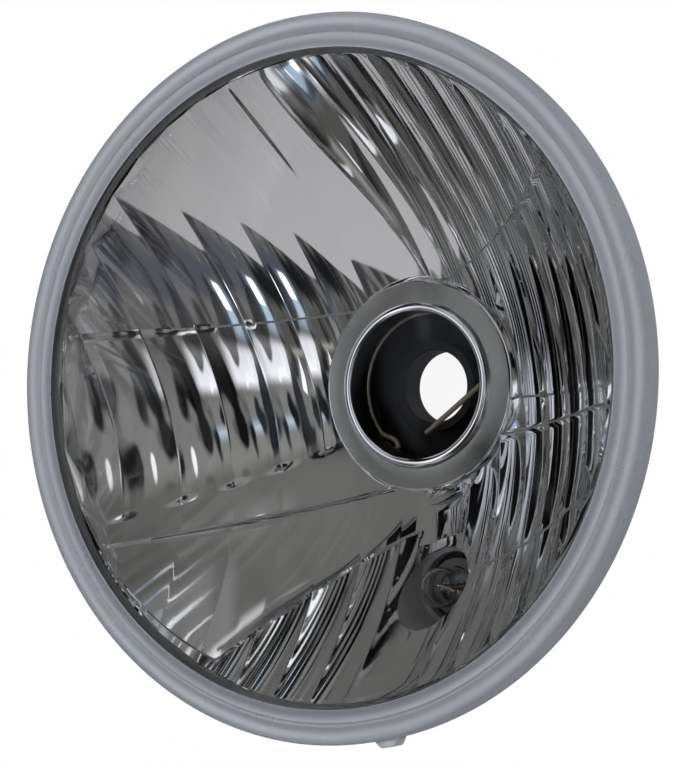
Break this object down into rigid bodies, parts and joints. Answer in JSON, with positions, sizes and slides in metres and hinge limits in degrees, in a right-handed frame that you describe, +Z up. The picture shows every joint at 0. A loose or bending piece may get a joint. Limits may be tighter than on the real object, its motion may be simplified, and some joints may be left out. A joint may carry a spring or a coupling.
{
  "type": "headlight insert",
  "caption": "Round clear-glass headlight insert with a fluted mirror reflector, bulb neck, wire clip, rubber boot and a small position lamp.",
  "frame": {"origin": "centre of the glass rim, on the lamp axis, midway through the rim's thickness", "axes": "lamp axis along Y with light leaving towards -Y, +X to the right seen from the front, +Z up with the position lamp and the locating lug below"},
  "size_m": [0.178, 0.0861, 0.1798],
  "materials": {
    "glass": "clear pressed glass, polished",
    "bead": "grey bonding bead",
    "reflector": "aluminised inside, moulded dark back",
    "steel": "zinc plated sheet",
    "spring_wire": "yellow zinc plated wire",
    "rubber": "moulded black rubber",
    "holder": "grey moulded plastic",
    "brass": "bright brass strip",
    "bulb_glass": "clear thin glass"
  },
  "bodies": {
    "root": {"lens": "glass", "lens_bead": "bead", "reflector": "reflector", "seat_ring": "steel", "seat_rivets": "steel", "bulb_clip": "spring_wire", "clip_bracket": "steel", "clip_catch": "steel", "clip_rivets": "steel", "rubber_boot": "rubber", "position_seal": "rubber", "position_holder": "holder", "position_contact_left": "brass", "position_contact_right": "brass", "position_bulb_glass": "bulb_glass", "position_bulb_leads": "steel", "position_filament": "steel"}
  },
  "joints": []
}
